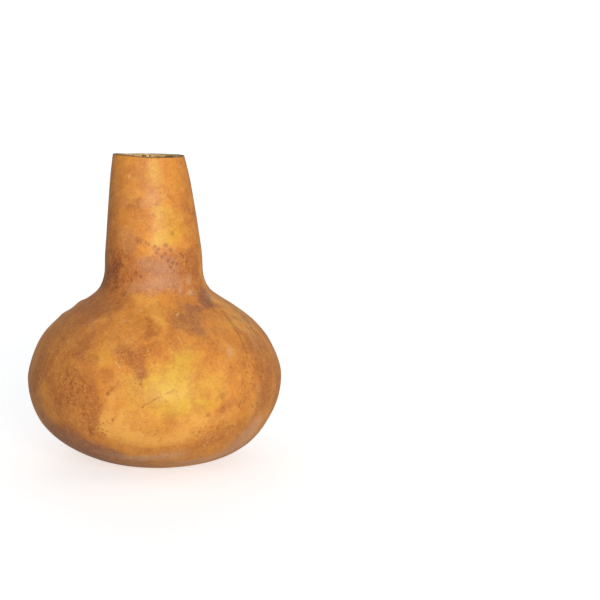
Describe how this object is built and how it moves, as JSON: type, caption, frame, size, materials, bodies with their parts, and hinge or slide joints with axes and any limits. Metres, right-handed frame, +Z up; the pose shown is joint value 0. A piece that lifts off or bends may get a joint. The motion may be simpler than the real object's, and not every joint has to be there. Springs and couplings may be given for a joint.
{
  "type": "dried bottle gourd",
  "caption": "Dried bottle gourd: a hollow hard shell with a squat round belly and a tapering neck cut open at the top, standing on its own flat spot.",
  "frame": {"origin": "on the surface the gourd stands on, under the middle of its belly", "axes": "+Z up, out of the mouth; -Y towards the side that is pictured; +X to that viewer's right"},
  "size_m": [0.2, 0.1995, 0.2421],
  "materials": {
    "gourd_skin": "satin, waxy, mottled golden-tan skin with brown stains; bare grey-brown cut edge and rough cream inside"
  },
  "bodies": {
    "root": {"gourd_shell": "gourd_skin"}
  },
  "joints": []
}
